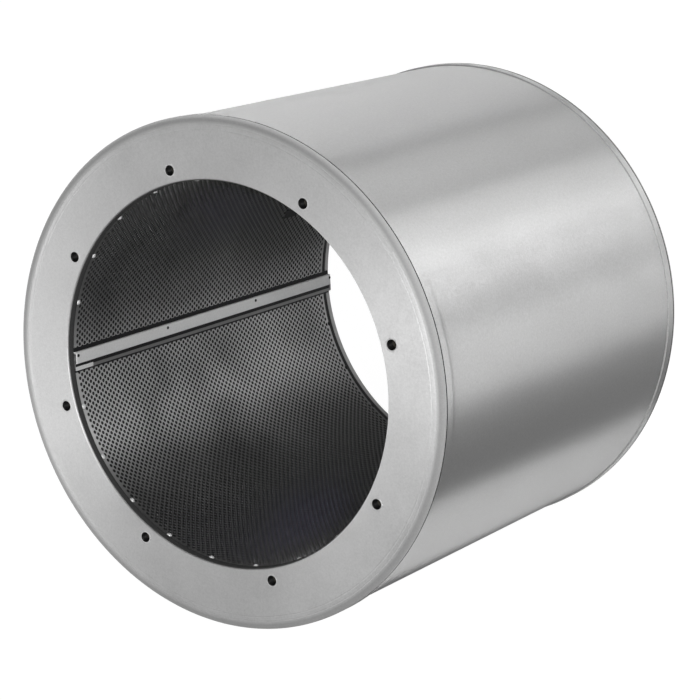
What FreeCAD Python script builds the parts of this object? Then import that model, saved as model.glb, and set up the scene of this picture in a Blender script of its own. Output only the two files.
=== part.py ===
import FreeCAD, Part
import math
import os

# Duct sound attenuator: a round casing lined with mineral wool behind a perforated
# liner, closed by two pressed end rings with threaded inserts for the duct's flanges.
# Millimetres. The bore's axis is Z, the rear ring's face is at Z = 0.
# Angles are counted from +X towards +Y, and the first insert is at 0.

# Overall sizes
overall_length = 380.0
bore_diameter = 315.0
lining_thickness = 50.0

# Sheet thicknesses
ring_sheet = 1.5
casing_sheet = 1.0
liner_sheet = 1.0
strip_sheet = 1.0

# Clearances between pieces that were pushed together, and round the soft fill
fit_clearance = 0.1
fill_clearance = 0.3

# End rings
collar_depth = 18.0
rim_bevel = 5.0
rim_depth = 13.0

# Threaded inserts in the end rings
insert_count = 8
insert_offset = 10.0
insert_core_diameter = 6.8
insert_width = 10.0
insert_length = 7.0

# Casing seam, a flattened lock seam along the hidden side
seam_angle = 135.0
seam_width = 9.0
seam_height = 1.2

# Liner with a coarse pattern of square cut-outs
liner_front_margin = 5.5
liner_rear_margin = 10.0
liner_joint_angle = 76.2
liner_joint_slit = 1.0
cut_out_width = 22.0
cut_out_columns = 12
cut_out_rows = 3
cut_out_end_margin = 45.0

# Glass fleece facing on the fill, between the two collars
fleece_thickness = 3.0

# Folded strip over the liner's joint
strip_face_width = 10.0
strip_face_height = 3.0
strip_foot_width = 4.0
strip_front_margin = 6.0
strip_rear_margin = 0.5

# Sizes that follow from those above
bore_radius = bore_diameter / 2
outer_radius = bore_radius + lining_thickness
collar_back_radius = bore_radius + ring_sheet
insert_circle_radius = bore_radius + insert_offset
casing_radius = outer_radius - ring_sheet - fit_clearance
casing_inner_radius = casing_radius - casing_sheet
casing_setback = rim_bevel + ring_sheet / 2 + fit_clearance
liner_radius = bore_radius - fit_clearance
liner_inner_radius = liner_radius - liner_sheet
liner_bottom = liner_rear_margin
liner_top = overall_length - liner_front_margin
insert_angles = [360 / insert_count * k for k in range(insert_count)]
insert_base = FreeCAD.Vector(insert_circle_radius, 0, 0)
axis = FreeCAD.Vector(0, 0, 1)


def sheet_section(points, sheet):
    """Face of a bent sheet in the XZ plane, its visible side along the path, the metal on its left."""
    steps = [(x1 - x0, z1 - z0) for (x0, z0), (x1, z1) in zip(points, points[1:])]
    headings = [math.atan2(dz, dx) for dx, dz in steps]
    turns = [math.remainder(b - a, math.tau) for a, b in zip(headings, headings[1:])]
    leans = [headings[0]] + [a + t / 2 for a, t in zip(headings, turns)] + [headings[-1]]
    widths = [sheet] + [sheet / math.cos(t / 2) for t in turns] + [sheet]
    back = []
    for (x, z), lean, width in zip(points, leans, widths):
        back.append((x - width * math.sin(lean), z + width * math.cos(lean)))
    outline = [FreeCAD.Vector(x, 0, z) for x, z in points + back[::-1] + points[:1]]
    return Part.Face(Part.makePolygon(outline))


def tube(outer, inner, bottom, top):
    """Round tube on the bore's axis."""
    base = FreeCAD.Vector(0, 0, bottom)
    solid = Part.makeCylinder(outer, top - bottom, base, axis)
    return solid.cut(Part.makeCylinder(inner, top - bottom, base, axis))


def turned(shape, angle):
    """Copy of a shape turned about the bore's axis."""
    copy = shape.copy()
    copy.rotate(FreeCAD.Vector(0, 0, 0), axis, angle)
    return copy


def at_front(shape):
    """Copy of a shape made for the rear end, turned over to the front end."""
    copy = shape.copy()
    copy.rotate(FreeCAD.Vector(0, 0, 0), FreeCAD.Vector(1, 0, 0), 180)
    copy.translate(FreeCAD.Vector(0, 0, overall_length))
    return copy


def hexagonal_bar(width, length):
    """Hexagonal bar up from the rear face at the first insert's place, a flat towards the bore."""
    corner_radius = width / 2 / math.cos(math.pi / 6)
    corners = []
    for k in range(7):
        turn = math.radians(60 * k)
        corner = FreeCAD.Vector(corner_radius * math.sin(turn), corner_radius * math.cos(turn), 0)
        corners.append(insert_base + corner)
    return Part.Face(Part.makePolygon(corners)).extrude(axis * length)


def cut_out_tool(angle, height):
    """Square bar that goes through the liner's sheet."""
    half = cut_out_width / 2
    corner = FreeCAD.Vector(liner_inner_radius - half, -half, height - half)
    return turned(Part.makeBox(cut_out_width, cut_out_width, cut_out_width, corner), angle)


# Inserts and the end ring, made for the rear end
core = Part.makeCylinder(insert_core_diameter / 2, insert_length, insert_base, axis)
rear_insert = hexagonal_bar(insert_width, insert_length).cut(core)

ring_path = [
    (bore_radius, collar_depth),
    (bore_radius, 0),
    (outer_radius - rim_bevel, 0),
    (outer_radius, rim_bevel),
    (outer_radius, rim_depth),
]
ring_blank = sheet_section(ring_path, ring_sheet)
ring_blank = ring_blank.revolve(FreeCAD.Vector(0, 0, 0), axis, 360)
insert_hole = hexagonal_bar(insert_width + 2 * fit_clearance, 2 * ring_sheet)
insert_holes = [turned(insert_hole, angle) for angle in insert_angles]
ring_blank = ring_blank.cut(insert_holes)

rear_ring = ring_blank
front_ring = at_front(ring_blank)

# Casing with its lock seam
casing_top = overall_length - casing_setback
outer_casing = tube(casing_radius, casing_inner_radius, casing_setback, casing_top)
seam_bottom = rim_depth + fit_clearance
seam_top = overall_length - rim_depth - fit_clearance
seam_ridge = Part.makeBox(
    seam_height + casing_sheet / 2,
    seam_width,
    seam_top - seam_bottom,
    FreeCAD.Vector(casing_radius - casing_sheet / 2, -seam_width / 2, seam_bottom),
)
outer_casing = outer_casing.fuse(turned(seam_ridge, seam_angle)).removeSplitter()

# Perforated liner, with its butt joint under the strip
perforated_liner = tube(liner_radius, liner_inner_radius, liner_bottom, liner_top)
joint_slit = Part.makeBox(
    2 * liner_sheet + 2,
    liner_joint_slit,
    liner_top - liner_bottom,
    FreeCAD.Vector(liner_inner_radius - 1, -liner_joint_slit / 2, liner_bottom),
)
liner_tools = [turned(joint_slit, liner_joint_angle)]
column_step = 360 / cut_out_columns
row_span = liner_top - liner_bottom - 2 * cut_out_end_margin
row_step = row_span / (cut_out_rows - 0.5)
for column in range(cut_out_columns):
    stagger = 0.5 * (column % 2)
    angle = liner_joint_angle + column_step * (column + 0.5)
    for row in range(cut_out_rows):
        height = liner_bottom + cut_out_end_margin + row_step * (row + stagger)
        liner_tools.append(cut_out_tool(angle, height))
perforated_liner = perforated_liner.cut(liner_tools)

# Folded strip over the liner's joint, as seen along the bore: X across, Z towards the bore's axis
strip_reach = strip_face_width / 2 + strip_foot_width
strip_base_radius = math.sqrt(liner_inner_radius ** 2 - strip_reach ** 2) - fit_clearance
strip_path = [
    (strip_reach, strip_sheet),
    (strip_face_width / 2, strip_sheet),
    (strip_face_width / 2, strip_face_height),
    (-strip_face_width / 2, strip_face_height),
    (-strip_face_width / 2, 0),
]
strip_section = sheet_section(strip_path, strip_sheet)
strip_top = overall_length - strip_front_margin
seam_strip = strip_section.extrude(FreeCAD.Vector(0, strip_rear_margin - strip_top, 0))
seam_strip.rotate(FreeCAD.Vector(0, 0, 0), FreeCAD.Vector(1, 0, 0), -90)
seam_strip.rotate(FreeCAD.Vector(0, 0, 0), axis, 90)
seam_strip.translate(FreeCAD.Vector(strip_base_radius, 0, strip_rear_margin))
seam_strip = turned(seam_strip, liner_joint_angle)

# Fleece and mineral wool between the liner and the casing
fleece_inner_radius = liner_radius + fill_clearance
fleece_outer_radius = fleece_inner_radius + fleece_thickness
fill_bottom = collar_depth + fill_clearance
glass_fleece = tube(fleece_outer_radius, fleece_inner_radius, fill_bottom, overall_length - fill_bottom)
wool_inner_radius = fleece_outer_radius + fill_clearance
wool_outer_radius = casing_inner_radius - fill_clearance
wool_bottom = insert_length + fill_clearance
mineral_wool = tube(wool_outer_radius, wool_inner_radius, wool_bottom, overall_length - wool_bottom)

parts = {
    "front_ring": front_ring,
    "rear_ring": rear_ring,
    "outer_casing": outer_casing,
    "perforated_liner": perforated_liner,
    "seam_strip": seam_strip,
    "glass_fleece": glass_fleece,
    "mineral_wool": mineral_wool,
}
for number, angle in enumerate(insert_angles, start=1):
    parts[f"rear_insert_{number}"] = turned(rear_insert, angle)
    parts[f"front_insert_{number}"] = turned(at_front(rear_insert), angle)

os.makedirs("parts", exist_ok=True)
for name, shape in parts.items():
    shape.exportStep(f"parts/{name}.step")
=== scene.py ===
"""Looks of a duct sound attenuator: a lined round casing with a perforated air passage.

Every piece is built in metres on the frame of the solids: Z is the passage's axis and
the rear ring's face is at Z = 0. Sizes in millimetres are written as a number times MM.
"""

import math

import bmesh
import bpy
import numpy as np
from mathutils import Matrix, Vector
from mathutils.geometry import delaunay_2d_cdt


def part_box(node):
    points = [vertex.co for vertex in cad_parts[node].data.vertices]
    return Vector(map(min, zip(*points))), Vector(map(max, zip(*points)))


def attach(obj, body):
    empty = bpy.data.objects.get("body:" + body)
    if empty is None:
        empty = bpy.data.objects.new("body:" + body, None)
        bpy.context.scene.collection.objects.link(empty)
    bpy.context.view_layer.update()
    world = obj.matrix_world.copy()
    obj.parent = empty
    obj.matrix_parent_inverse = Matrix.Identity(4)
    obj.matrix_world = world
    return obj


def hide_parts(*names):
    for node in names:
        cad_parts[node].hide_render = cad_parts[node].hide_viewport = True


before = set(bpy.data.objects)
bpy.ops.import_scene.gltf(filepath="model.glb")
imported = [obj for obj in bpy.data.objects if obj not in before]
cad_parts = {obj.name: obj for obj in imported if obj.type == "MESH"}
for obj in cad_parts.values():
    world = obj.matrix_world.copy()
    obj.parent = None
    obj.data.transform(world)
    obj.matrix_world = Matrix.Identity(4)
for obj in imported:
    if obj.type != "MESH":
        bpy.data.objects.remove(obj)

bl_info = {
    "name": "Duct sound attenuator",
    "version": (1, 0, 0),
    "blender": (4, 5, 0),
    "location": "View3D > Sidebar > Attenuator",
    "description": "Builds the finished pieces of a duct sound attenuator around its solids",
    "category": "Object",
}

MM = 0.001
BODY = "root"

# Sizes read from the solids
RING_LOW, RING_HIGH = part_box("front_ring")
LINER_LOW, LINER_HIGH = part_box("perforated_liner")
CASING_LOW, CASING_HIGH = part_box("outer_casing")
STRIP_LOW, STRIP_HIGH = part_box("seam_strip")
INSERT_LOW, INSERT_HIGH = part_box("rear_insert_1")
COLLAR_DEPTH = RING_HIGH[2] - RING_LOW[2]
LENGTH = RING_HIGH[2]
OUTER_RADIUS = RING_HIGH[0]
LINER_OUTER_RADIUS = LINER_HIGH[0]
CASING_RADIUS = CASING_HIGH[0]
INSERT_CIRCLE_RADIUS = (INSERT_LOW[0] + INSERT_HIGH[0]) / 2
INSERT_WIDTH = INSERT_HIGH[0] - INSERT_LOW[0]
INSERT_LENGTH = INSERT_HIGH[2] - INSERT_LOW[2]
INSERT_COUNT = 8

# Half the width that the strip rests on, and the clearance between pieces pushed together
STRIP_REACH = 9 * MM
FIT_CLEARANCE = 0.1 * MM

# How far a bead or a rivet reaches into what it sits on
BITE = 0.02 * MM

# Share of the white background that metal shows
WHITE_IN_METAL = 0.10


def length_prop(name, description, millimetres):
    """Length setting for a panel, with its default given in millimetres."""
    return bpy.props.FloatProperty(
        name=name, description=description, default=millimetres * MM,
        min=0.0, precision=5, subtype="DISTANCE", unit="LENGTH")


def count_prop(name, description, default, least):
    """Setting that is a whole number."""
    return bpy.props.IntProperty(name=name, description=description, default=default, min=least)


def angle_prop(name, description, degrees):
    """Angle setting, with its default given in degrees."""
    return bpy.props.FloatProperty(
        name=name, description=description, default=math.radians(degrees), subtype="ANGLE")


def colour_prop(name, description, default):
    """Colour setting."""
    return bpy.props.FloatVectorProperty(
        name=name, description=description, default=default, size=3, min=0.0, max=1.0,
        subtype="COLOR")


def place_prop(name, description, default):
    """Setting that is a point."""
    return bpy.props.FloatVectorProperty(
        name=name, description=description, default=default, size=3,
        subtype="TRANSLATION", unit="LENGTH")


class AttenuatorSheetSizes(bpy.types.PropertyGroup):
    """Sheet thicknesses and bends"""

    ring_sheet: length_prop("Ring sheet", "Thickness of the end rings", 1.5)
    collar_bend: length_prop("Collar bend", "Bend from the ring's face into the bore", 1.0)
    edge_slope_width: length_prop("Edge slope width", "Width of the sloped edge of the ring", 11.5)
    edge_slope_drop: length_prop("Edge slope drop", "Drop of the sloped edge at the rim", 0.5)
    rim_bend: length_prop("Rim bend", "Bend from the sloped edge into the rim", 4.0)
    crease_depth: length_prop("Crease depth", "Depth of the pressed creases near the rim", 0.15)
    crease_width: length_prop("Crease width", "Width of the pressed creases", 1.5)
    # painted shade: the gap's faces are near-black
    seam_gap: length_prop("Seam gap", "Width and depth of the dark gap round the rim", 1.2)
    rim_depth: length_prop("Rim depth", "Depth of the rim that laps over the casing", 13.0)
    casing_sheet: length_prop("Casing sheet", "Thickness of the casing", 1.0)
    seam_width: length_prop("Seam width", "Width of the casing's lock seam", 9.0)
    seam_height: length_prop("Seam height", "Height of the casing's lock seam", 1.2)
    seam_angle: angle_prop("Seam angle", "Place of the casing's lock seam", 135.0)
    liner_sheet: length_prop("Liner sheet", "Thickness of the perforated liner", 1.0)
    joint_angle: angle_prop("Joint angle", "Place of the liner's joint under the strip", 76.2)
    strip_sheet: length_prop("Strip sheet", "Thickness of the folded strip", 1.0)
    strip_face_width: length_prop("Strip face width", "Width of the strip's raised face", 10.0)
    strip_face_height: length_prop("Strip face height", "Height of the strip's raised face", 3.0)
    strip_foot_width: length_prop("Strip foot width", "Width of the foot beside the face", 6.0)
    strip_foot_reach: length_prop("Strip foot reach", "Bare end of the foot at the rear", 3.0)
    strip_clip_length: length_prop("Strip clip length", "Clip on the foot at the front", 22.0)
    strip_bend: length_prop("Strip bend", "Outer radius of the strip's folds", 0.9)
    # painted shade: the dark tab is a near-black sheet laid on the liner where a dark slot-like mark
    # shows shade
    tab_angle: angle_prop("Tab angle", "Place of the dark tab near the liner's rear end", 46.5)
    tab_width: length_prop("Tab width", "Width of the dark tab round the liner", 9.0)
    tab_low: length_prop("Tab low end", "Height at which the dark tab starts", 76.0)
    tab_high: length_prop("Tab high end", "Height at which the dark tab ends", 96.0)


class AttenuatorPerforation(bpy.types.PropertyGroup):
    """Pattern of the liner's holes"""

    hole_diameter: length_prop("Hole diameter", "Diameter of a hole in the liner", 3.3)
    wall_depth: length_prop("Wall depth", "Depth to which a hole's wall is drawn", 0.15)
    row_pitch: length_prop("Row pitch", "Distance along the bore between holes in line", 6.25)
    columns: count_prop("Columns", "Holes round the liner in one row", 190, 12)
    sides: count_prop("Sides", "Edges that make up one round hole", 8, 4)
    end_margin: length_prop("End margin", "Plain edge left at each end of the liner", 1.2)
    panels: count_prop("Panels", "Pieces that the liner's mesh is kept in", 5, 1)


class AttenuatorFasteners(bpy.types.PropertyGroup):
    """Inserts and rivets"""

    core_diameter: length_prop("Core diameter", "Inside diameter of the thread", 6.8)
    thread_diameter: length_prop("Thread diameter", "Outside diameter of the thread", 8.0)
    thread_pitch: length_prop("Thread pitch", "Pitch of the thread", 1.25)
    mouth_diameter: length_prop("Mouth diameter", "Diameter of the insert's bevelled mouth", 8.6)
    rivet_count: count_prop("Rivet count", "Rivets round one end of the liner", 22, 3)
    rivet_angle: angle_prop("Rivet angle", "Place of the first rivet, under the strip", 75.0)
    rivet_head: length_prop("Rivet head", "Diameter of a rivet's head", 4.4)
    rivet_height: length_prop("Rivet height", "Height of a rivet's head", 1.1)
    rivet_inset: length_prop("Rivet inset", "Distance of the rivets from the liner's end", 2.5)
    strip_rivet_head: length_prop("Strip rivet head", "Diameter of a head on the strip", 2.8)
    strip_rivet_height: length_prop("Strip rivet height", "Height of a head on the strip", 0.6)
    strip_rivet_offset: length_prop("Strip rivet offset", "Distance from the face's middle", 2.0)


class AttenuatorFinish(bpy.types.PropertyGroup):
    """Colours of the materials"""

    ring_colour: colour_prop("Ring", "Zinc coating of the end rings", (0.60, 0.60, 0.60))
    casing_colour: colour_prop("Casing", "Zinc coating of the casing", (0.51, 0.51, 0.51))
    liner_colour: colour_prop("Liner", "Zinc coating of the liner", (0.36, 0.36, 0.36))
    # painted light: the strip's cap and foot are one zinc sheet, the cap painted light as a highlight
    # and the foot painted dark as shade
    strip_cap_lit_colour: colour_prop("Strip", "Zinc coating of the strip", (0.86, 0.86, 0.86))
    strip_foot_shaded_colour: colour_prop("Strip foot", "Zinc coating of the strip's foot", (0.34, 0.34, 0.34))
    plated_colour: colour_prop("Plated", "Plating of the inserts", (0.62, 0.62, 0.62))
    rivet_colour: colour_prop("Rivet", "Bright rivet heads", (0.88, 0.88, 0.88))
    # painted shade: near-black for the shade inside the inserts' threads and in the rim's gap
    painted_shade_colour: colour_prop("Thread", "Dark steel inside the inserts", (0.004, 0.004, 0.004))
    # painted shade: near-black beads drawn as sealant stand for the shade in the gaps at the liner's
    # ends and beside the strip
    shade_bead_colour: colour_prop("Sealant", "Beads beside the liner's ends", (0.012, 0.012, 0.013))
    # painted shade: the front bead is a dark band drawn as sealant, for the shade at the front lip
    front_shade_bead_colour: colour_prop("Front sealant", "Bead at the front lip", (0.05, 0.05, 0.05))
    fleece_colour: colour_prop("Fleece", "Glass fleece behind the holes", (0.012, 0.012, 0.013))
    # painted shade: the wool is made nearly black, as it shows only as shade through the inserts'
    # bores
    wool_shaded_colour: colour_prop("Wool", "Mineral wool fill", (0.04, 0.036, 0.028))
    floor_colour: colour_prop("Floor", "Studio floor", (0.37, 0.37, 0.37))


class AttenuatorStudio(bpy.types.PropertyGroup):
    """Camera and floor"""

    eye: place_prop("Camera place", "Where the camera stands", (0.14543, -1.25982, 1.92972))
    aim: place_prop("Camera aim", "Point in the middle of the picture", (-0.01404, -0.00178, 0.2059))
    roll: angle_prop("Camera roll", "Turn of the camera about its view", -109.608)
    lens: bpy.props.FloatProperty(
        name="Lens", description="Focal length on a 36 mm sensor", default=130.13, min=1.0)
    floor_size: bpy.props.FloatProperty(
        name="Floor size", description="Side of the floor", default=14.0, min=1.0, unit="LENGTH")


def settings():
    """All settings of the scene."""
    scene = bpy.context.scene
    return (scene.attenuator_sheet, scene.attenuator_perforation,
            scene.attenuator_fasteners, scene.attenuator_finish, scene.attenuator_studio)


# Shapes

def round_corners(points, radii, steps):
    """Corner path with its inner corners turned into arcs of the given radii."""
    path = [Vector(points[0])]
    for before, corner, after, radius in zip(points, points[1:], points[2:], radii):
        corner = Vector(corner)
        back = (Vector(before) - corner).normalized()
        ahead = (Vector(after) - corner).normalized()
        half_angle = back.angle(ahead) / 2
        centre = corner + (back + ahead).normalized() * (radius / math.sin(half_angle))
        entry = corner + back * (radius / math.tan(half_angle)) - centre
        leave = corner + ahead * (radius / math.tan(half_angle)) - centre
        sweep = math.atan2(entry.cross(leave), entry.dot(leave))
        path += [centre + Matrix.Rotation(sweep * k / steps, 2) @ entry for k in range(steps + 1)]
    path.append(Vector(points[-1]))
    return path


def sheet_outline(path, sheet):
    """Closed outline of a bent sheet whose visible side is the path, the metal on its left."""
    headings = [(b - a).normalized() for a, b in zip(path, path[1:])]
    sharpest = 0.5
    back = []
    for point, first, second in zip(path, headings[:1] + headings, headings + headings[-1:]):
        normal = Vector((-first.y - second.y, first.x + second.x)).normalized()
        spread = max(normal.dot(Vector((-first.y, first.x))), sharpest)
        back.append(point + normal * (sheet / spread))
    return path + back[::-1]


def new_piece(name, vertices, faces, slot, material):
    """Mesh object with its doubled points merged and its faces turned outwards."""
    merge_distance = 0.001 * MM
    mesh = bpy.data.meshes.new(name)
    mesh.from_pydata([tuple(v) for v in vertices], [], faces)
    mesh.validate()
    shape = bmesh.new()
    shape.from_mesh(mesh)
    bmesh.ops.remove_doubles(shape, verts=shape.verts, dist=merge_distance)
    bmesh.ops.recalc_face_normals(shape, faces=shape.faces)
    shape.to_mesh(mesh)
    shape.free()
    return dress(name, mesh, material, smooth_angle=35.0)


def dress(name, mesh, material, smooth_angle):
    """Object around a mesh that rides on the body, shaded smooth up to an angle."""
    mesh.materials.append(material)
    mesh.polygons.foreach_set("use_smooth", [True] * len(mesh.polygons))
    mesh.set_sharp_from_angle(angle=math.radians(smooth_angle))
    piece = bpy.data.objects.new(name, mesh)
    bpy.context.scene.collection.objects.link(piece)
    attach(piece, BODY)
    return piece


def on_circle(radius, angle, height):
    """Point at a radius and an angle about the bore's axis."""
    return radius * math.cos(angle), radius * math.sin(angle), height


def loop_quads(loops, count, closed=False):
    """Quads between loops of points that follow each other, each loop of the same count."""
    faces = []
    for index in range(loops if closed else loops - 1):
        here = index * count
        there = (index + 1) % loops * count
        for k in range(count):
            after = (k + 1) % count
            faces.append((here + k, here + after, there + after, there + k))
    return faces


def revolve(outline, steps, skip=()):
    """Vertices and quads of a closed outline of (radius, height) turned about Z."""
    count = len(outline)
    vertices = [on_circle(r, math.tau * k / steps, z) for k in range(steps) for r, z in outline]
    faces = loop_quads(steps, count, closed=True)
    return vertices, [face for k, face in enumerate(faces) if k % count not in skip]


def curved_plate(radius, sheet, angle, width, low, high, steps=6):
    """Vertices and faces of a plate bent round Z, its back at the radius, its middle at the angle."""
    profile = ((radius, low), (radius, high), (radius - sheet, high), (radius - sheet, low))
    vertices = []
    for k in range(steps + 1):
        turn = angle + width / radius * (k / steps - 0.5)
        vertices += [on_circle(r, turn, z) for r, z in profile]
    return vertices, end_caps(steps + 1, 4) + loop_quads(steps + 1, 4)


def end_caps(loops, count):
    """Faces that close the first and the last of a row of loops."""
    return [tuple(range(count)), tuple(range((loops - 1) * count, loops * count))]


def add_part(vertices, faces, more_vertices, more_faces):
    """Add one part's vertices and faces to those of a piece."""
    start = len(vertices)
    vertices += more_vertices
    faces += [tuple(i + start for i in face) for face in more_faces]


def hexagon(width, steps=1):
    """Corners of a hexagon with a flat towards the bore, each side cut into steps."""
    corner_radius = width / 2 / math.cos(math.pi / 6)
    turns = [math.pi / 3 * k for k in range(6)]
    corners = [Vector((math.sin(turn), math.cos(turn))) * corner_radius for turn in turns]
    points = []
    for a, b in zip(corners, corners[1:] + corners[:1]):
        points += [a.lerp(b, k / steps) for k in range(steps)]
    return points


def flat_ring(inner, outer, height, steps, holes):
    """Vertices and triangles of a flat ring between two radii with convex holes cut out."""
    merge_distance = 0.0001 * MM
    just_inside = 0.9999
    circle = [Vector(on_circle(1.0, math.tau * k / steps, 0.0)[:2]) for k in range(steps)]
    points = []
    edges = []
    for loop in [[p * outer for p in circle], [p * inner for p in circle]] + holes:
        numbers = list(range(len(points), len(points) + len(loop)))
        edges += zip(numbers, numbers[1:] + numbers[:1])
        points += loop
    flat_points, _, flat_faces = delaunay_2d_cdt(points, edges, [], 0, merge_distance)[:3]
    middles = [sum(hole, Vector((0, 0))) / len(hole) for hole in holes]
    reach = max((p - m).length for hole, m in zip(holes, middles) for p in hole)
    faces = []
    for face in flat_faces:
        middle = sum((flat_points[i] for i in face), Vector((0, 0))) / len(face)
        near = [hole for hole, m in zip(holes, middles) if (middle - m).length < reach]
        in_bore = middle.length <= inner * just_inside
        if not in_bore and not any(within(middle, hole) for hole in near):
            faces.append(tuple(face))
    return [(p.x, p.y, height) for p in flat_points], faces


def within(point, loop):
    """Whether a point lies inside a convex loop."""
    signs = [(b - a).cross(point - a) for a, b in zip(loop, loop[1:] + loop[:1])]
    return all(s > 0 for s in signs) or all(s < 0 for s in signs)


def turned_over(vertices):
    """Vertices made for the rear end, turned over to the front end."""
    return [(x, -y, LENGTH - z) for x, y, z in vertices]


# Shader groups and materials

def new_group(name, inputs, outputs):
    """Shader node group with named number sockets."""
    group = bpy.data.node_groups.new(name, "ShaderNodeTree")
    kind = "NodeSocketFloat"
    for socket, value in inputs.items():
        item = group.interface.new_socket(name=socket, in_out="INPUT", socket_type=kind)
        item.default_value = value
    for socket in outputs:
        group.interface.new_socket(name=socket, in_out="OUTPUT", socket_type=kind)
    return group, group.nodes.new("NodeGroupInput"), group.nodes.new("NodeGroupOutput")


def add_node(tree, kind, inputs=None, **options):
    """Node with options set and inputs given as values or as sockets to link from."""
    node = tree.nodes.new(kind)
    for key, value in options.items():
        setattr(node, key, value)
    for key, value in (inputs or {}).items():
        if isinstance(value, bpy.types.NodeSocket):
            tree.links.new(value, node.inputs[key])
        else:
            node.inputs[key].default_value = value
    return node


def add_group(tree, name, inputs=None):
    """Outputs of one of the shader groups, placed in a material."""
    return add_node(tree, "ShaderNodeGroup", inputs, node_tree=bpy.data.node_groups[name]).outputs


def maths(tree, operation, first, second=0.0):
    """Output of a Math node."""
    return add_node(tree, "ShaderNodeMath", {0: first, 1: second}, operation=operation).outputs[0]


def vector_maths(tree, operation, first, second):
    """Output of a Vector Math node that gives a vector."""
    return add_node(
        tree, "ShaderNodeVectorMath", {0: first, 1: second}, operation=operation).outputs[0]


def object_place(tree):
    """Place on the piece, in the frame of the part."""
    return add_node(tree, "ShaderNodeTexCoord").outputs["Object"]


def axis_distance(tree, place):
    """Distance of a place from the bore's axis."""
    flat = vector_maths(tree, "MULTIPLY", place, (1.0, 1.0, 0.0))
    return add_node(tree, "ShaderNodeVectorMath", {0: flat}, operation="LENGTH").outputs["Value"]


def noise(tree, place, scale, detail=3.0, **inputs):
    """Outputs of a noise over a place, so many lumps to the metre."""
    values = {"Vector": place, "Scale": scale, "Detail": detail, **inputs}
    return add_node(tree, "ShaderNodeTexNoise", values).outputs


def stretch(tree, value, low=0.0, high=1.0, to_low=0.0, to_high=1.0):
    """Value carried from one range to another, and held within it."""
    return add_node(tree, "ShaderNodeMapRange", {
        "Value": value, "From Min": low, "From Max": high,
        "To Min": to_low, "To Max": to_high}).outputs[0]


def rolled_sheet_group():
    """Zinc coated sheet: rolling streaks, cloudy tone, fine speckle, and their height."""
    group, given, result = new_group(
        "rolled sheet", {"Streaks": 1.0, "Clouds": 1.0, "Speckle": 1.0, "Lengthwise": 1.0},
        ("Tone", "Roughness", "Height"))
    place = object_place(group)
    parts = add_node(group, "ShaderNodeSeparateXYZ", {0: place}).outputs
    around = maths(group, "MULTIPLY", maths(group, "ARCTAN2", parts[1], parts[0]), OUTER_RADIUS)
    across = maths(group, "ADD", parts[2], axis_distance(group, place))
    sparse, dense = 14.0, 914.0
    speckle_scale, cloud_scale = 620.0, 16.0
    shift = maths(group, "MULTIPLY", given.outputs["Lengthwise"], dense - sparse)
    streak_place = add_node(group, "ShaderNodeCombineXYZ", {
        0: maths(group, "MULTIPLY", around, maths(group, "ADD", sparse, shift)),
        1: maths(group, "MULTIPLY", across, maths(group, "SUBTRACT", dense, shift))}).outputs[0]
    sources = {
        "Streaks": noise(group, streak_place, 1.0, Roughness=0.6),
        "Clouds": noise(group, place, cloud_scale, Roughness=0.55),
        "Speckle": noise(group, place, speckle_scale, Roughness=0.7),
    }
    swings = {}
    for name, source in sources.items():
        swing = maths(group, "SUBTRACT", source["Fac"], 0.5)
        swings[name] = maths(group, "MULTIPLY", swing, given.outputs[name])
    starts = {"Tone": 1.0, "Roughness": 0.0, "Height": 0.0}
    shares = {
        "Tone": {"Streaks": 0.10, "Clouds": 0.10, "Speckle": 0.16},
        "Roughness": {"Streaks": 0.10, "Clouds": 0.16, "Speckle": 0.10},
        "Height": {"Streaks": 0.6, "Clouds": 1.5, "Speckle": 0.5},
    }
    for output, total in starts.items():
        for name, share in shares[output].items():
            total = maths(group, "ADD", total, maths(group, "MULTIPLY", swings[name], share))
        group.links.new(total, result.inputs[output])


def edge_wear_group():
    """Brighter metal where an edge has been rubbed, broken up by noise."""
    group, given, result = new_group("edge wear", {"Width": 1.2 * MM, "Amount": 0.5}, ("Mask",))
    bevel = add_node(group, "ShaderNodeBevel", {"Radius": given.outputs["Width"]}, samples=4)
    shape = add_node(group, "ShaderNodeNewGeometry")
    bend = add_node(group, "ShaderNodeVectorMath",
                    {0: bevel.outputs[0], 1: shape.outputs["Normal"]}, operation="DOT_PRODUCT")
    flat_cosine, sharp_cosine = 0.995, 0.85
    edge = stretch(group, bend.outputs["Value"], flat_cosine, sharp_cosine)
    breaks = noise(group, object_place(group), 260.0, Roughness=0.7)
    broken = stretch(group, breaks["Fac"], low=0.38, high=0.62)
    mask = maths(group, "MULTIPLY", maths(group, "MULTIPLY", edge, broken), given.outputs["Amount"])
    group.links.new(mask, result.inputs["Mask"])


def rim_dulling_and_shade_group():
    """Mask of the stretched zinc where a ring is bent down to its rim, which also drives painted
    shade there.
    """
    group, given, result = new_group(
        "rim dulling", {"Start": OUTER_RADIUS - 8 * MM, "End": OUTER_RADIUS - 4 * MM}, ("Mask",))
    radius = axis_distance(group, object_place(group))
    mask = stretch(group, radius, given.outputs["Start"], given.outputs["End"])
    group.links.new(mask, result.inputs["Mask"])


def new_material(name):
    """Material with its Principled BSDF."""
    material = bpy.data.materials.new(name)
    material.use_nodes = True
    return material, material.node_tree, material.node_tree.nodes["Principled BSDF"]


def paint(tree, shader, colour, shade, roughness):
    """Give a shader a colour, made lighter and darker by a shade, and a roughness."""
    base = vector_maths(tree, "MULTIPLY", (*colour,), shade)
    tree.links.new(base, shader.inputs["Base Color"])
    shader.inputs["Roughness"].default_value = roughness


def bump(tree, shader, height, strength, distance):
    """Give a shader a surface that rises and falls with a height."""
    bumped = add_node(tree, "ShaderNodeBump", {
        "Height": height, "Strength": strength, "Distance": distance})
    tree.links.new(bumped.outputs[0], shader.inputs["Normal"])


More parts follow.
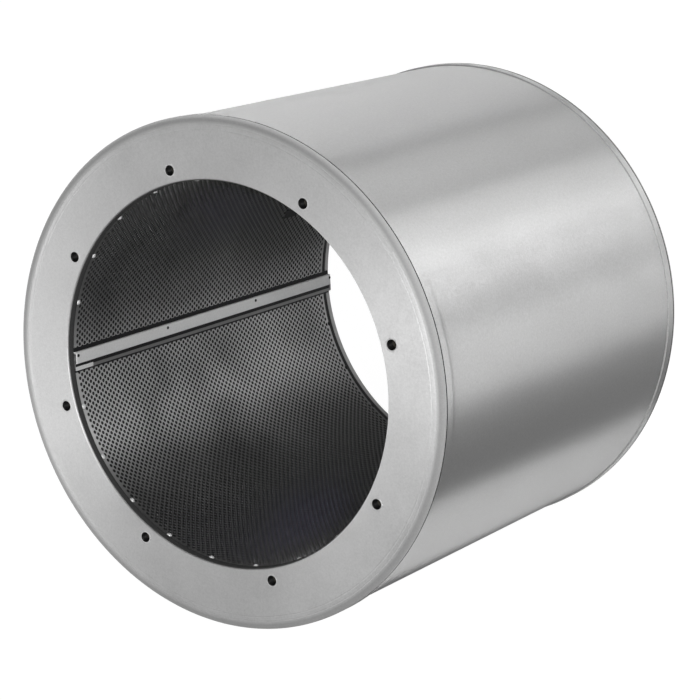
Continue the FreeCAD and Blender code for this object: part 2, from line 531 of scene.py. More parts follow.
def zinc_material(name, colour, metallic, roughness, streaks, clouds, speckle, wear,
                  lengthwise=0.0, grain=0.0, rim_dulling_and_shade=0.0, edge_tint=0.45):
    """Zinc coated steel sheet, its grain running round the bore's axis, rougher at the ring's rim and
    with painted shade there.
    """
    material, tree, shader = new_material(name)
    sheet = add_group(tree, "rolled sheet", {
        "Streaks": streaks, "Clouds": clouds, "Speckle": speckle, "Lengthwise": lengthwise})
    base = vector_maths(tree, "MULTIPLY", (*colour,), sheet["Tone"])
    rough = maths(tree, "ADD", sheet["Roughness"], roughness)
    if rim_dulling_and_shade > 0:
        rim = add_group(tree, "rim dulling")
        dulled_and_shaded = maths(tree, "MULTIPLY", rim["Mask"], rim_dulling_and_shade)
        rough = maths(tree, "ADD", rough, dulled_and_shaded)
        # painted shade: the rim's colour is darkened to tone down its highlight
        base = vector_maths(tree, "MULTIPLY", base, maths(tree, "SUBTRACT", 1.0, dulled_and_shaded))
    worn = add_group(tree, "edge wear", {"Amount": wear})
    rub_gain = 1.3
    rubbed = tuple(min(1.0, rub_gain * c) for c in colour) + (1.0,)
    bright = add_node(tree, "ShaderNodeMix", {
        "Factor": worn["Mask"], "A": base, "B": rubbed}, data_type="RGBA")
    tree.links.new(bright.outputs["Result"], shader.inputs["Base Color"])
    tree.links.new(rough, shader.inputs["Roughness"])
    bump(tree, shader, sheet["Height"], strength=0.12, distance=0.2 * MM)
    shader.inputs["Metallic"].default_value = metallic
    shader.inputs["Specular Tint"].default_value = 3 * (edge_tint,) + (1.0,)
    shader.inputs["Anisotropic"].default_value = grain
    if grain > 0:
        around = vector_maths(tree, "CROSS_PRODUCT", (0.0, 0.0, 1.0), object_place(tree))
        normal = add_node(tree, "ShaderNodeNewGeometry").outputs["Normal"]
        across = vector_maths(tree, "CROSS_PRODUCT", around, normal)
        tree.links.new(across, shader.inputs["Tangent"])
    return material


def casing_material(name, finish):
    """Finish of the rolled casing, which the rings' upright rims share."""
    return zinc_material(
        name, finish.casing_colour, metallic=1.0, roughness=0.42, streaks=0.5, clouds=0.5,
        speckle=3.0, wear=0.3, grain=1.0)


def painted_shade_steel(name, finish, roughness):
    """Near-black steel: painted shade inside an insert's thread and in a narrow gap."""
    material, tree, shader = new_material(name)
    shade_mottle = noise(tree, object_place(tree), 900.0)
    shade = stretch(tree, shade_mottle["Fac"], to_low=0.5, to_high=1.5)
    paint(tree, shader, finish.painted_shade_colour, shade, roughness)
    shader.inputs["Specular IOR Level"].default_value = 0.15
    return material


def soft_material(name, colour, roughness, scale, depth, fibres):
    """Sealant, fleece or wool: a dull surface with lumps or fibres."""
    material, tree, shader = new_material(name)
    lumps = noise(tree, object_place(tree), scale, detail=5.0, Roughness=0.7, Distortion=fibres)
    strands = add_node(tree, "ShaderNodeTexVoronoi", {
        "Vector": lumps["Color"], "Scale": 9.0}, feature="DISTANCE_TO_EDGE")
    shade = stretch(tree, strands.outputs["Distance"], high=0.4, to_low=0.55, to_high=1.35)
    paint(tree, shader, colour, shade, roughness)
    bump(tree, shader, lumps["Fac"], strength=0.6, distance=depth)
    return material


def shade_bead_material(name, finish, depth):
    """Near-black painted shade, drawn as smooth beads of sealant."""
    return soft_material(
        name, finish.shade_bead_colour, roughness=0.6, scale=220.0, depth=depth, fibres=0.3)


def background_share(tree):
    """How white the background shows: wholly to the camera and through glass, partly in metal."""
    path = add_node(tree, "ShaderNodeLightPath").outputs
    seen = maths(tree, "MAXIMUM", path["Is Camera Ray"], path["Is Transmission Ray"])
    in_metal = maths(tree, "MULTIPLY", path["Is Glossy Ray"], WHITE_IN_METAL)
    return maths(tree, "MAXIMUM", seen, in_metal)


def floor_material(colour):
    """Pale floor: nearly white to the camera, with a faint shadow, and plain to light."""
    material, tree, shader = new_material("studio floor")
    glow_share, glow_strength = 0.80, 1.20
    mottle = noise(tree, object_place(tree), 3.0, detail=4.0)
    shade = stretch(tree, mottle["Fac"], to_low=0.97, to_high=1.03)
    paint(tree, shader, colour, shade, roughness=0.9)
    glow = add_node(tree, "ShaderNodeEmission", {
        "Color": (1.0, 1.0, 1.0, 1.0), "Strength": glow_strength})
    blend = add_node(tree, "ShaderNodeMixShader", {
        0: maths(tree, "MULTIPLY", background_share(tree), glow_share),
        1: shader.outputs[0], 2: glow.outputs[0]})
    tree.links.new(blend.outputs[0], tree.nodes["Material Output"].inputs["Surface"])
    return material


# Pieces

def ring_path(sheet):
    """Visible side of an end ring for the rear end, from the collar's end to the rim's end."""
    bore = LINER_OUTER_RADIUS + FIT_CLEARANCE
    slope = OUTER_RADIUS - sheet.edge_slope_width
    second = (slope + OUTER_RADIUS - sheet.rim_bend) / 2
    drop = sheet.edge_slope_drop
    crease = sheet.crease_depth
    width = sheet.crease_width
    gap = sheet.seam_gap / 2
    rim_gap = drop + sheet.rim_bend
    first_rise, second_rise, last_rise = 0.2 * drop, 0.6 * drop, 0.7 * drop
    corners = [
        (bore, COLLAR_DEPTH),
        (bore, 0.0),
        (slope, 0.0),
        (slope + width / 2, crease),
        (slope + width, first_rise),
        (second, second_rise),
        (second + width / 2, second_rise + crease),
        (second + width, last_rise),
        (OUTER_RADIUS, drop),
        (OUTER_RADIUS, rim_gap - gap),
        (OUTER_RADIUS - gap, rim_gap),
        (OUTER_RADIUS, rim_gap + gap),
        (OUTER_RADIUS, sheet.rim_depth),
    ]
    crease_bend, gap_bend = 0.5 * MM, 0.1 * MM
    edge_bend = sheet.rim_bend - 1.5 * gap
    bends = [sheet.collar_bend] + 6 * [crease_bend] + [edge_bend] + 3 * [gap_bend]
    return round_corners(corners, bends, steps=7)


class ATTENUATOR_OT_rings(bpy.types.Operator):
    """Build the two end rings with their bends and insert holes"""

    bl_idname = "attenuator.rings"
    bl_label = "End rings"

    def execute(self, context):
        sheet, _, _, finish, _ = settings()
        material = zinc_material(
            "zinc ring", finish.ring_colour, metallic=0.60, roughness=0.47, streaks=0.5,
            clouds=1.6, speckle=2.4, wear=0.6, grain=0.65, rim_dulling_and_shade=0.32)
        rim_finish = casing_material("zinc rim", finish)
        # painted shade in the rim's gap
        gap_shade_finish = painted_shade_steel("gap", finish, roughness=0.6)
        path = ring_path(sheet)
        outline = sheet_outline(path, sheet.ring_sheet)
        lengths = [(b - a).length for a, b in zip(path, path[1:])]
        face_index = lengths.index(max(lengths))
        back_index = len(outline) - 2 - face_index
        steps = 288
        vertices, faces = revolve(outline, steps, skip=(face_index, back_index))
        hole_play = 0.08 * MM
        first_hole = [p + Vector((INSERT_CIRCLE_RADIUS, 0.0))
                      for p in hexagon(INSERT_WIDTH + hole_play)]
        turns = [Matrix.Rotation(math.tau * k / INSERT_COUNT, 2) for k in range(INSERT_COUNT)]
        holes = [[turn @ p for p in first_hole] for turn in turns]
        near, far = outline[face_index:face_index + 2]
        back_far, back_near = outline[back_index:back_index + 2]
        for start, end in ((near, far), (back_near, back_far)):
            add_part(vertices, faces, *flat_ring(start.x, end.x, start.y, steps, holes))
        for hole in holes:
            wall = [(p.x, p.y, z) for z in (0.0, sheet.ring_sheet) for p in hole]
            add_part(vertices, faces, wall, loop_quads(2, len(hole)))
        for name, placed in (("rear_ring", vertices), ("front_ring", turned_over(vertices))):
            piece = new_piece(name + "_pressed", placed, faces, "end_ring", material)
            piece.data.materials.append(rim_finish)
            piece.data.materials.append(gap_shade_finish)
            for face in piece.data.polygons:
                face.material_index = self.finish_of(face, sheet)
            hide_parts(name)
        return {"FINISHED"}

    def finish_of(self, face, sheet):
        """Material of a face: the ring's, the casing's on the upright rim, or the near-black painted
        shade in the gap.
        """
        depth = min(face.center.z, LENGTH - face.center.z)
        radius = face.center.xy.length
        gap_place = sheet.edge_slope_drop + sheet.rim_bend
        gap = sheet.seam_gap / 2
        if radius < OUTER_RADIUS - gap or depth < gap_place - gap:
            return 0
        return 2 if depth < gap_place + gap else 1


class ATTENUATOR_OT_inserts(bpy.types.Operator):
    """Build the threaded inserts of both rings"""

    bl_idname = "attenuator.inserts"
    bl_label = "Threaded inserts"

    def execute(self, context):
        _, _, fasteners, finish, _ = settings()
        material = zinc_material(
            "plated insert", finish.plated_colour, metallic=0.6, roughness=0.45, streaks=0.2,
            clouds=0.6, speckle=0.8, wear=0.8)
        # painted shade inside the thread
        dark = painted_shade_steel("thread", finish, roughness=0.5)
        vertices, faces, thread_start = insert_mesh(fasteners)
        for number in range(1, INSERT_COUNT + 1):
            turn = Matrix.Rotation(math.tau * (number - 1) / INSERT_COUNT, 3, "Z")
            rear = [turn @ Vector(v) for v in vertices]
            front = [turn @ Vector(v) for v in turned_over(vertices)]
            for name, placed in ((f"rear_insert_{number}", rear), (f"front_insert_{number}", front)):
                piece = new_piece(name + "_threaded", placed, faces, "insert", material)
                piece.data.materials.append(dark)
                for face in piece.data.polygons[thread_start:]:
                    face.material_index = 1
                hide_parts(name)
        return {"FINISHED"}


def insert_mesh(fasteners):
    """Hexagonal insert at the first place of the rear ring, with a bevelled mouth and a thread."""
    steps = 36
    rows_per_turn = 8
    run_in_rows = 6
    flank = 1.25
    chamfer = 0.25 * MM
    core = fasteners.core_diameter / 2
    crest = fasteners.thread_diameter / 2
    mouth = fasteners.mouth_diameter / 2
    bevel_depth = mouth - core
    outside = hexagon(INSERT_WIDTH, steps // 6)
    around = [math.pi / 2 - math.tau * k / steps for k in range(steps)]
    vertices = []

    def add_loop(points, height):
        vertices.extend((INSERT_CIRCLE_RADIUS + p[0], p[1], height) for p in points)

    add_loop(outside, INSERT_LENGTH)
    add_loop(outside, chamfer)
    add_loop([p * (1 - chamfer / p.length) for p in outside], 0.0)
    add_loop([on_circle(mouth, a, 0.0) for a in around], 0.0)
    rows = int(rows_per_turn * (INSERT_LENGTH - bevel_depth) / fasteners.thread_pitch)
    for row in range(rows + 1):
        height = bevel_depth + (INSERT_LENGTH - bevel_depth) * row / rows
        depth = (crest - core) * min(1.0, row / run_in_rows)
        points = []
        for k, angle in enumerate(around):
            phase = (height / fasteners.thread_pitch + k / steps) % 1.0
            groove = min(1.0, flank * (1.0 - abs(phase - 0.5) * 2.0))
            points.append(on_circle(core + depth * groove, angle, height))
        add_loop(points, height)
    faces = loop_quads(len(vertices) // steps, steps, closed=True)
    return vertices, faces, 3 * steps


class ATTENUATOR_OT_casing(bpy.types.Operator):
    """Build the rolled casing with its lock seam"""

    bl_idname = "attenuator.casing"
    bl_label = "Casing"

    def execute(self, context):
        sheet, _, _, finish, _ = settings()
        steps = 720
        spans = 12
        ramp_start, ramp_end, ramp_width = 0.05 * MM, 0.6 * MM, 0.9 * MM
        inner = CASING_RADIUS - sheet.casing_sheet
        low, high = CASING_LOW[2], CASING_HIGH[2]
        seam_low = sheet.rim_depth + FIT_CLEARANCE
        seam_high = LENGTH - seam_low
        levels = [low, seam_low - ramp_start, seam_low + ramp_end]
        levels += [seam_low + (seam_high - seam_low) * k / spans for k in range(1, spans)]
        levels += [seam_high - ramp_end, seam_high + ramp_start, high]
        angles = [math.tau * k / steps for k in range(steps)]
        rises = []
        for angle in angles:
            off = math.remainder(angle - sheet.seam_angle, math.tau) * CASING_RADIUS
            rise = min(1.0, max(0.0, (sheet.seam_width / 2 - abs(off)) / ramp_width))
            rises.append(sheet.seam_height * rise * (2 - rise))
        vertices = []
        for index, level in enumerate(levels):
            lifts = rises if 2 <= index <= len(levels) - 3 else steps * [0.0]
            vertices += [on_circle(CASING_RADIUS + lift, angle, level)
                         for angle, lift in zip(angles, lifts)]
        for level in (high, low):
            vertices += [on_circle(inner, angle, level) for angle in angles]
        faces = loop_quads(len(levels) + 2, steps, closed=True)
        material = casing_material("zinc casing", finish)
        piece = new_piece("outer_casing_rolled", vertices, faces, "casing", material)
        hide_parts("outer_casing")
        return {"FINISHED"}


class ATTENUATOR_OT_liner(bpy.types.Operator):
    """Build the perforated liner, hole by hole, in panels round the bore"""

    bl_idname = "attenuator.liner"
    bl_label = "Perforated liner"

    def execute(self, context):
        sheet, perforation, _, finish, _ = settings()
        material = zinc_material(
            "zinc liner", finish.liner_colour, metallic=0.96, roughness=0.54, streaks=0.6,
            clouds=3.5, speckle=1.5, wear=0.0, lengthwise=1.0, grain=0.95, edge_tint=0.1)
        grid = HoleGrid(sheet, perforation)
        half_columns = 2 * perforation.columns
        panel_size = math.ceil(half_columns / perforation.panels)
        for number in range(perforation.panels):
            first = number * panel_size
            last = min(first + panel_size, half_columns)
            mesh = perforated_panel(grid, np.arange(first, last))
            name = f"perforated_liner_{number + 1}"
            piece = dress(name, mesh, material, smooth_angle=60.0)
            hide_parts("perforated_liner")
        return {"FINISHED"}


class HoleGrid:
    """Where the liner's holes lie, in half columns round the bore and half rows along it."""

    def __init__(self, sheet, perforation):
        self.outer = LINER_OUTER_RADIUS
        self.inner = self.outer - sheet.liner_sheet
        self.wall_end = self.inner + min(perforation.wall_depth, sheet.liner_sheet)
        self.joint_angle = sheet.joint_angle
        self.hole_radius = perforation.hole_diameter / 2
        self.sides = perforation.sides
        self.half_pitch = perforation.row_pitch / 2
        self.half_width = math.pi * self.inner / perforation.columns
        length = LINER_HIGH[2] - LINER_LOW[2]
        self.half_rows = int((length - 2 * perforation.end_margin) / self.half_pitch) - 1
        self.start = LINER_LOW[2] + (length - (self.half_rows + 1) * self.half_pitch) / 2


def perforated_panel(grid, columns):
    """Mesh of some of the liner's half columns: the face with its holes, and the holes' walls."""
    sides = grid.sides
    places = np.meshgrid(columns, np.arange(grid.half_rows), indexing="ij")
    column, row = [place.ravel() for place in places]
    used = (column + row) % 2 == 0
    column, row = column[used], row[used]
    turn = np.arange(sides) * math.tau / sides
    cell_along = np.array([grid.half_pitch, 0.0, -grid.half_pitch, 0.0])
    cell_across = np.array([0.0, grid.half_width, 0.0, -grid.half_width])
    hole_along = np.tile(grid.hole_radius * np.cos(turn), 3)
    hole_across = np.tile(grid.hole_radius * np.sin(turn), 3)
    middle_along = grid.start + (row + 1) * grid.half_pitch
    middle_across = column * grid.half_width
    along = middle_along[:, None] + np.concatenate([cell_along, hole_along])
    across = middle_across[:, None] + np.concatenate([cell_across, hole_across])
    radius = np.concatenate([np.full(4 + 2 * sides, grid.inner), np.full(sides, grid.wall_end)])
    angle = across / grid.inner + grid.joint_angle
    vertices = np.stack([radius * np.cos(angle), radius * np.sin(angle), along], axis=2)
    cell = np.array(hole_cell(sides))
    faces = (np.arange(len(column))[:, None, None] * len(radius) + cell).reshape(-1, 3)
    points = vertices.reshape(-1, 3)
    edge_points, edge_faces = liner_edges(grid, columns)
    faces = np.concatenate([faces, edge_faces + len(points)])
    points = np.concatenate([points, edge_points])
    mesh = bpy.data.meshes.new("perforated_liner")
    mesh.vertices.add(len(points))
    mesh.vertices.foreach_set("co", points.ravel())
    mesh.loops.add(faces.size)
    mesh.loops.foreach_set("vertex_index", faces.ravel())
    mesh.polygons.add(len(faces))
    mesh.polygons.foreach_set("loop_start", np.arange(0, faces.size, 3))
    mesh.update(calc_edges=True)
    mesh.validate()
    return mesh


def hole_cell(sides):
    """Triangles of one cell: its face from four corners to a round hole, then the hole's wall."""
    triangles = []
    quarter = sides // 4
    middle = quarter // 2
    for side in range(4):
        ring = [4 + (side * quarter + k) % sides for k in range(quarter + 1)]
        for k in range(quarter):
            corner = side if k < middle else (side + 1) % 4
            triangles.append((corner, ring[k + 1], ring[k]))
        triangles.append((side, (side + 1) % 4, ring[middle]))
    near, far = 4 + sides, 4 + 2 * sides
    for k in range(sides):
        after = (k + 1) % sides
        triangles.append((near + k, near + after, far + after))
        triangles.append((near + k, far + after, far + k))
    return triangles


def liner_edges(grid, columns):
    """Plain margins beyond the last holes, with the sheet's thickness at both ends."""
    points = []
    faces = []
    for end, edge_row, reach in ((LINER_LOW[2], 0, -grid.half_pitch),
                                 (LINER_HIGH[2], grid.half_rows - 1, grid.half_pitch)):
        near = grid.start + (edge_row + 1) * grid.half_pitch
        for column in columns:
            tip = (column + edge_row) % 2 == 0
            middle = near + reach if tip else near
            beside = near if tip else near + reach
            base = len(points)
            for place, edge in ((column - 1, beside), (column, middle), (column + 1, beside)):
                angle = place * grid.half_width / grid.inner + grid.joint_angle
                points += [on_circle(grid.inner, angle, edge), on_circle(grid.inner, angle, end),
                           on_circle(grid.inner, angle, end), on_circle(grid.outer, angle, end)]
            pairs = (0, 1) if column == columns[-1] else (0,)
            for a in [base + 4 * k for k in pairs]:
                b = a + 4
                for quad in ((a, b, b + 1, a + 1), (a + 2, b + 2, b + 3, a + 3)):
                    quad = quad if reach > 0 else quad[::-1]
                    faces += [(quad[0], quad[2], quad[1]), (quad[0], quad[3], quad[2])]
    return np.array(points), np.array(faces)


def strip_profiles(sheet):
    """Closed cross-sections of the strip's cap, foot and clip: across, and up to the axis."""
    half = sheet.strip_face_width / 2
    top = sheet.strip_face_height
    foot_end = half + sheet.strip_foot_width
    cap_lip, foot_lap, clip_lap = 1.3 * MM, 2.0 * MM, 2.6 * MM
    clip_rise = sheet.strip_sheet + 0.5 * MM
    clip_hook = 0.3 * MM
    cap_sheet, foot_sheet, clip_sheet = 0.9 * sheet.strip_sheet, 0.85 * sheet.strip_sheet, 0.4 * MM
    cap = round_corners([(half, top - cap_lip), (half, top), (-half, top), (-half, 0.0)],
                        (sheet.strip_bend, sheet.strip_bend), steps=5)
    foot = [Vector((foot_end, sheet.strip_sheet)), Vector((half - foot_lap, sheet.strip_sheet))]
    clip = round_corners([(half + clip_lap, clip_rise), (foot_end, clip_rise),
                          (foot_end, clip_hook)], (clip_hook,), steps=4)
    return (sheet_outline(cap, cap_sheet), sheet_outline(foot, foot_sheet),
            sheet_outline(clip[::-1], clip_sheet))


def strip_place(sheet, across, up, along):
    """Point on the strip's frame, in the frame of the part."""
    inner = LINER_OUTER_RADIUS - sheet.liner_sheet
    base_radius = math.sqrt(inner ** 2 - STRIP_REACH ** 2) - FIT_CLEARANCE
    x, y, _ = on_circle(1.0, sheet.joint_angle, 0.0)
    radius = base_radius - up
    return radius * x - across * y, radius * y + across * x, along


def swept_strip(sheet, name, outline, bottom, top, slot, material):
    """Piece with one cross-section in the strip's frame, drawn along the bore."""
    steps = 24
    levels = [bottom + (top - bottom) * k / steps for k in range(steps + 1)]
    vertices = [strip_place(sheet, x, y, level) for level in levels for x, y in outline]
    count = len(outline)
    faces = end_caps(len(levels), count) + loop_quads(len(levels), count)
    return new_piece(name, vertices, faces, slot, material)


class ATTENUATOR_OT_strip(bpy.types.Operator):
    """Build the folded strip over the liner's joint"""

    bl_idname = "attenuator.strip"
    bl_label = "Folded strip"

    def execute(self, context):
        sheet, _, _, finish, _ = settings()
        # painted light: one sheet in a lit copy for the cap and a shaded copy for the foot
        cap_lit_finish = zinc_material(
            "zinc strip", finish.strip_cap_lit_colour, metallic=0.15, roughness=0.50, streaks=0.8,
            clouds=1.6, speckle=1.6, wear=0.8, lengthwise=1.0)
        foot_shaded_finish = zinc_material(
            "zinc strip foot", finish.strip_foot_shaded_colour, metallic=0.6, roughness=0.50, streaks=0.8,
            clouds=1.0, speckle=1.2, wear=0.4, lengthwise=1.0)
        low, high = STRIP_LOW[2], STRIP_HIGH[2]
        cap, foot, clip = strip_profiles(sheet)
        parts = (
            ("seam_strip_cap", cap, low + sheet.strip_foot_reach, cap_lit_finish),
            ("seam_strip_foot", foot, low, foot_shaded_finish),
            ("seam_strip_clip", clip, high - sheet.strip_clip_length, cap_lit_finish),
        )
        for name, outline, bottom, material in parts:
            piece = swept_strip(sheet, name, outline, bottom, high, "strip", material)
            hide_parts("seam_strip")
        return {"FINISHED"}


# Section of a rivet's head: shares of its diameter from the middle, and of its height
RIVET_SECTION = ((0.5, -0.15), (0.5, 0.06), (0.47, 0.30), (0.40, 0.62), (0.28, 0.88),
                 (0.17, 1.0), (0.13, 0.97), (0.10, 0.45))
RIVET_PIT = 0.40


def rivet_mesh(head, height, origin, inward, steps):
    """Domed rivet head with the small pit of its mandrel, on a seat that faces inward."""
    origin = Vector(origin)
    inward = Vector(inward).normalized()
    side = inward.orthogonal().normalized()
    other = inward.cross(side)
    vertices = []
    for share, rise in RIVET_SECTION:
        for k in range(steps):
            turn = math.tau * k / steps
            spoke = side * math.cos(turn) + other * math.sin(turn)
            vertices.append(origin + spoke * head * share + inward * height * rise)
    centre = len(vertices)
    last = centre - steps
    vertices.append(origin + inward * height * RIVET_PIT)
    faces = loop_quads(len(RIVET_SECTION), steps)
    faces += [(last + k, last + (k + 1) % steps, centre) for k in range(steps)]
    return vertices, faces


class ATTENUATOR_OT_rivets(bpy.types.Operator):
    """Build the rivets of the liner's two ends and of the strip"""

    bl_idname = "attenuator.rivets"
    bl_label = "Rivets"

    def execute(self, context):
        sheet, _, fasteners, finish, _ = settings()
        material = zinc_material(
            "plated rivet", finish.rivet_colour, metallic=0.25, roughness=0.30, streaks=0.0,
            clouds=0.6, speckle=0.8, wear=0.4)
        # painted shade: the rear row of rivets and the strip's rivets take the near-black finish of
        # the shade beads
        coated = shade_bead_material("coated rivet", finish, depth=0.2 * MM)
        seat_radius = LINER_OUTER_RADIUS - sheet.liner_sheet - BITE
        rear_share = 0.6
        front = LINER_HIGH[2] - fasteners.rivet_inset
        rear = LINER_LOW[2] + rear_share * fasteners.rivet_inset
        rows = (("front_liner_rivets", front, material), ("rear_liner_rivets", rear, coated))
        for name, height, covering in rows:
            vertices, faces = [], []
            for k in range(1, fasteners.rivet_count):
                angle = fasteners.rivet_angle + math.tau * k / fasteners.rivet_count
                out = Vector(on_circle(1.0, angle, 0.0))
                origin = out * seat_radius + Vector((0.0, 0.0, height))
                add_part(vertices, faces, *rivet_mesh(
                    fasteners.rivet_head, fasteners.rivet_height, origin, -out, steps=20))
            new_piece(name, vertices, faces, "insert", covering)
        vertices, faces = [], []
        inward = -Vector(on_circle(1.0, sheet.joint_angle, 0.0))
        strip_heights = (4.5 * MM, 123.0 * MM, 252.0 * MM, front)
        for height in strip_heights:
            seat = strip_place(sheet, -fasteners.strip_rivet_offset, sheet.strip_face_height, height)
            add_part(vertices, faces, *rivet_mesh(
                fasteners.strip_rivet_head, fasteners.strip_rivet_height, seat, inward,
                steps=16))
        new_piece("strip_rivets", vertices, faces, "insert", coated)
        return {"FINISHED"}


def outline_at(across, up, points):
    """Outline given in millimetres from a place, in metres."""
    return [(across + x * MM, up + y * MM) for x, y in points]


class ATTENUATOR_OT_shade_beads(bpy.types.Operator):
    """Build the near-black beads at the liner's ends and beside the strip, and the dark tab: painted
    shade, drawn as sealant and a tab
    """

    bl_idname = "attenuator.sealant"
    # painted shade: the beads and the tab are near-black to stand for shade
    bl_label = "Sealant beads"

    def execute(self, context):
        sheet, _, _, finish, _ = settings()
        # painted shade for the beads and the tab, in a near-black finish named sealant
        material = shade_bead_material("sealant", finish, depth=0.4 * MM)
        # painted shade at the front lip, drawn as a bead of sealant
        front_shade_bead_material = soft_material(
            "front sealant", finish.front_shade_bead_colour, roughness=0.7, scale=420.0, depth=0.4 * MM,
            fibres=0.6)
        self.joint_shade_bead("front_joint_shade_bead", front_shade_bead_material, sheet, end=LINER_HIGH[2] + BITE,
                        lip=LENGTH - 1.5 * MM, lap=0.6 * MM)
        self.joint_shade_bead("rear_joint_shade_bead", material, sheet, end=LINER_LOW[2] - BITE,
                        lip=6.6 * MM, lap=2.0 * MM)
        # painted shade: a near-black sheet on the liner for a dark slot-like mark
        tab_back = LINER_OUTER_RADIUS - sheet.liner_sheet - BITE
        tab_sheet = 0.6 * MM
        tab = curved_plate(tab_back, tab_sheet, sheet.tab_angle, sheet.tab_width,
                           sheet.tab_low, sheet.tab_high)
        new_piece("liner_shade_tab", *tab, "fleece", material)
        self.strip_shade_beads(sheet, material)
        return {"FINISHED"}

    def joint_shade_bead(self, name, material, sheet, end, lip, lap):
        """Near-black bead from a ring's lip to the liner's end, which it laps over: painted shade in
        the gap there.
        """
        skin, round_off, thin_out = 0.3 * MM, 0.6 * MM, 0.8
        outer = LINER_OUTER_RADIUS + FIT_CLEARANCE - BITE
        inner = LINER_OUTER_RADIUS - sheet.liner_sheet
        back = math.copysign(lap, end - lip)
        outline = [
            (outer, end),
            (outer, lip),
            (inner + round_off, lip),
            (inner, (lip + end) / 2),
            (inner - skin, end),
            (inner - skin, end + thin_out * back),
            (inner - BITE, end + back),
            (inner - BITE, end),
        ]
        new_piece(name, *revolve(outline, steps=192), "fleece", material)

    def strip_shade_beads(self, sheet, material):
        """Near-black beads along both sides of the strip's face and beside its foot: painted shade
        beside the raised face.
        """
        half = sheet.strip_face_width / 2
        beads = {
            "strip_upper_shade_bead": outline_at(-half, 0.0, (
                (-3.4, -0.40), (-3.2, -0.02), (-0.5, 0.6), (-0.02, 0.7), (-0.02, -0.12))),
            "strip_lower_shade_bead": outline_at(half, sheet.strip_sheet + BITE, (
                (-1.5, 0.0), (3.3, 0.0), (2.9, 0.25), (-1.5, 0.6))),
            "strip_foot_shade_bead": outline_at(half + sheet.strip_foot_width, 0.0, (
                (0.0, -0.1), (1.7, 0.0), (1.6, 0.25), (0.0, 0.6))),
        }
        low, high = STRIP_LOW[2] + sheet.strip_foot_reach, STRIP_HIGH[2]
        for name, outline in beads.items():
            swept_strip(sheet, name, outline, low, high, "fleece", material)


class ATTENUATOR_OT_fill(bpy.types.Operator):
    """Give the fleece and the mineral wool their surfaces"""

    bl_idname = "attenuator.fill"
    bl_label = "Fleece and wool"

    def execute(self, context):
        _, _, _, finish, _ = settings()
        fleece = soft_material(
            "glass fleece", finish.fleece_colour, roughness=0.95, scale=700.0, depth=0.3 * MM,
            fibres=1.5)
        wool = soft_material(
            "mineral wool", finish.wool_shaded_colour, roughness=1.0, scale=160.0, depth=1.5 * MM,
            fibres=2.0)
        for name, material in (("glass_fleece", fleece), ("mineral_wool", wool)):
            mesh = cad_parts[name].data
            mesh.materials.clear()
            mesh.materials.append(material)
        fleece_low, fleece_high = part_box("glass_fleece")
        lap_clearance, lap_sheet = 0.03 * MM, 0.05 * MM
        inner = LINER_OUTER_RADIUS + lap_clearance
        outer = inner + lap_sheet
        laps = {
            "rear_fleece_lap": (LINER_LOW[2], fleece_low[2]),
            "front_fleece_lap": (fleece_high[2], LINER_HIGH[2]),
        }
        for name, (low, high) in laps.items():
            outline = [(inner, low), (inner, high), (outer, high), (outer, low)]
            new_piece(name, *revolve(outline, steps=288), "fleece", fleece)
        return {"FINISHED"}


# Lamps: bearing in degrees, distance from the axis, height, width and height of the lamp, watts
LAMPS = {
    "key_band": (-61.0, 1.6, 0.17, (0.62, 0.30), 5.9),
    "middle_band": (-87.0, 1.6, 0.17, (0.66, 0.30), 0.9),
    "shade_band": (-107.0, 1.6, 0.17, (0.70, 0.30), 2.7),
    "gap_band": (-38.0, 1.6, 0.17, (0.55, 0.30), 3.5),
    "right_band": (14.0, 1.6, 0.17, (2.6, 0.30), 21.0),
    "left_band": (-169.0, 1.6, 0.17, (1.0, 0.30), 6.4),
    "bore_lamp": (-75.0, 1.6, 2.2, (0.5, 0.7), 27.0),
    "front_top_lamp": (-115.0, 1.0, 2.7, (1.0, 1.0), 35.5),
    "back_top_lamp": (86.0, 2.3, 1.6, (1.6, 0.8), 17.0),
}


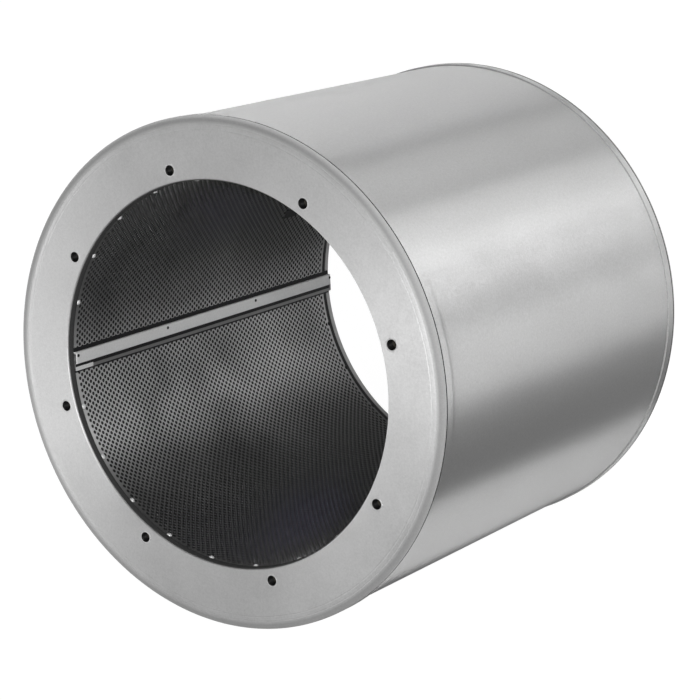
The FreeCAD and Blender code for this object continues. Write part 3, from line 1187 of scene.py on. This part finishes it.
class ATTENUATOR_OT_stage(bpy.types.Operator):
    """Build the floor, the lamps, the world and the camera"""

    bl_idname = "attenuator.stage"
    bl_label = "Studio"

    def execute(self, context):
        _, _, _, finish, studio = settings()
        self.floor(finish, studio)
        self.world()
        for name, (bearing, reach, height, size, power) in LAMPS.items():
            self.lamp(name, on_circle(reach, math.radians(bearing), height), size, power)
        self.camera(studio)
        bpy.context.scene.view_settings.view_transform = "Standard"
        return {"FINISHED"}

    def floor(self, finish, studio):
        """Pale floor with an edge that sweeps up gently, so that it is not a bare plane."""
        mesh = bpy.data.meshes.new("floor")
        half = studio.floor_size / 2
        cuts = 24
        flat_share = 0.8
        edge_rise = 0.25
        sink = 0.2 * MM
        vertices = []
        for i in range(cuts + 1):
            for j in range(cuts + 1):
                x, y = -half + 2 * half * i / cuts, -half + 2 * half * j / cuts
                far = max(0.0, max(abs(x), abs(y)) / half - flat_share) / (1 - flat_share)
                vertices.append((x, y, edge_rise * far * far - sink))
        corners = [i * (cuts + 1) + j for i in range(cuts) for j in range(cuts)]
        faces = [(a, a + cuts + 1, a + cuts + 2, a + 1) for a in corners]
        mesh.from_pydata(vertices, [], faces)
        mesh.polygons.foreach_set("use_smooth", [True] * len(mesh.polygons))
        mesh.materials.append(floor_material(finish.floor_colour))
        floor = bpy.data.objects.new("floor", mesh)
        bpy.context.scene.collection.objects.link(floor)

    def world(self):
        """White to the camera, greyer in metal and soft grey as a light."""
        world = bpy.data.worlds.new("studio")
        bpy.context.scene.world = world
        world.use_nodes = True
        tree = world.node_tree
        soft_light, white = 0.06, 1.0
        shade = add_node(tree, "ShaderNodeMix", {
            "Factor": background_share(tree), "A": soft_light, "B": white}, data_type="FLOAT")
        background = tree.nodes["Background"]
        background.inputs["Color"].default_value = (1.0, 1.0, 1.0, 1.0)
        tree.links.new(shade.outputs[0], background.inputs["Strength"])

    def lamp(self, name, place, size, power):
        """Soft rectangular lamp that faces the middle of the part."""
        light = bpy.data.lights.new(name, "AREA")
        light.shape = "RECTANGLE"
        light.size, light.size_y = size
        light.energy = power
        holder = bpy.data.objects.new(name, light)
        holder.location = place
        facing = Vector((0.0, 0.0, LENGTH / 2)) - Vector(place)
        holder.rotation_euler = facing.to_track_quat("-Z", "Y").to_euler()
        holder.visible_camera = False
        bpy.context.scene.collection.objects.link(holder)

    def camera(self, studio):
        """Camera at the photograph's place, turned about its view."""
        camera = bpy.data.cameras.new("camera")
        camera.lens = studio.lens
        camera.sensor_width = 36.0
        holder = bpy.data.objects.new("camera", camera)
        eye = Vector(studio.eye)
        turn = (Vector(studio.aim) - eye).to_track_quat("-Z", "Y").to_matrix()
        turn = turn @ Matrix.Rotation(studio.roll, 3, "Z")
        holder.matrix_world = Matrix.Translation(eye) @ turn.to_4x4()
        bpy.context.scene.collection.objects.link(holder)
        bpy.context.scene.camera = holder


class ATTENUATOR_PT_panel(bpy.types.Panel):
    """Steps that build the attenuator"""

    bl_label = "Attenuator"
    bl_idname = "ATTENUATOR_PT_panel"
    bl_space_type = "VIEW_3D"
    bl_region_type = "UI"
    bl_category = "Attenuator"

    def draw(self, context):
        for operator in OPERATORS:
            self.layout.operator(operator.bl_idname)


GROUPS = {
    "attenuator_sheet": AttenuatorSheetSizes,
    "attenuator_perforation": AttenuatorPerforation,
    "attenuator_fasteners": AttenuatorFasteners,
    "attenuator_finish": AttenuatorFinish,
    "attenuator_studio": AttenuatorStudio,
}
OPERATORS = (
    ATTENUATOR_OT_rings,
    ATTENUATOR_OT_inserts,
    ATTENUATOR_OT_casing,
    ATTENUATOR_OT_liner,
    ATTENUATOR_OT_strip,
    ATTENUATOR_OT_rivets,
    ATTENUATOR_OT_shade_beads,
    ATTENUATOR_OT_fill,
    ATTENUATOR_OT_stage,
)


def register():
    """Make the settings, operators and panel known."""
    for name, group in GROUPS.items():
        bpy.utils.register_class(group)
        setattr(bpy.types.Scene, name, bpy.props.PointerProperty(type=group))
    for operator in OPERATORS:
        bpy.utils.register_class(operator)
    bpy.utils.register_class(ATTENUATOR_PT_panel)


def unregister():
    """Take the settings, operators and panel back out."""
    bpy.utils.unregister_class(ATTENUATOR_PT_panel)
    for operator in reversed(OPERATORS):
        bpy.utils.unregister_class(operator)
    for name, group in reversed(GROUPS.items()):
        delattr(bpy.types.Scene, name)
        bpy.utils.unregister_class(group)


def main():
    """Build every piece."""
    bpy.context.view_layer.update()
    register()
    rolled_sheet_group()
    edge_wear_group()
    rim_dulling_and_shade_group()
    for operator in OPERATORS:
        section, name = operator.bl_idname.split(".")
        getattr(getattr(bpy.ops, section), name)()


if __name__ == "__main__":
    main()
